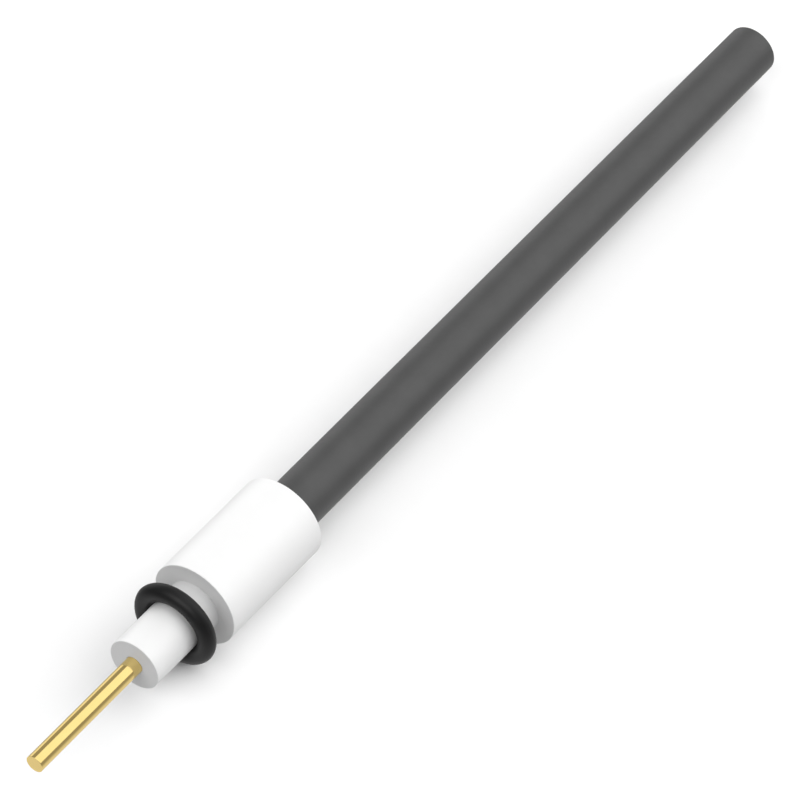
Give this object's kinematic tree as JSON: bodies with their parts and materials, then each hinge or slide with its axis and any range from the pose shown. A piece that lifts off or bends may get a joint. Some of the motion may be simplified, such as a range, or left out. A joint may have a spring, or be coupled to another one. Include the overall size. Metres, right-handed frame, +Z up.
{
  "type": "flame sensor probe",
  "caption": "Plug-in flame sensing probe: gold contact pin, white stepped insulator with a sliding sealing ring, and a long dark sensing rod.",
  "frame": {"origin": "on the probe's axis, in the plane of the shoulder between the nose and the barrel", "axes": "+X along the probe towards the sensing rod's end, -X towards the contact pin, +Z up as it lies"},
  "size_m": [0.131, 0.01, 0.01],
  "materials": {
    "white_insulator": "satin",
    "gold_plate": "polished",
    "black_rubber": "satin",
    "dark_rod": "matte",
    "spring_steel": "satin",
    "brass": "satin",
    "cement": "matte"
  },
  "bodies": {
    "probe": {"insulator": "white_insulator", "contact_pin": "gold_plate", "pin_seal": "black_rubber", "contact_spring": "spring_steel", "contact_cap": "brass", "sensing_rod": "dark_rod", "rod_seal": "black_rubber", "rod_cement": "cement"},
    "ring": {"o_ring": "black_rubber"}
  },
  "joints": [
    {"name": "ring_slide", "type": "slide", "parent": "probe", "child": "ring", "axis": [1, 0, 0], "range_m": [-0.0058, 0.0022]}
  ]
}
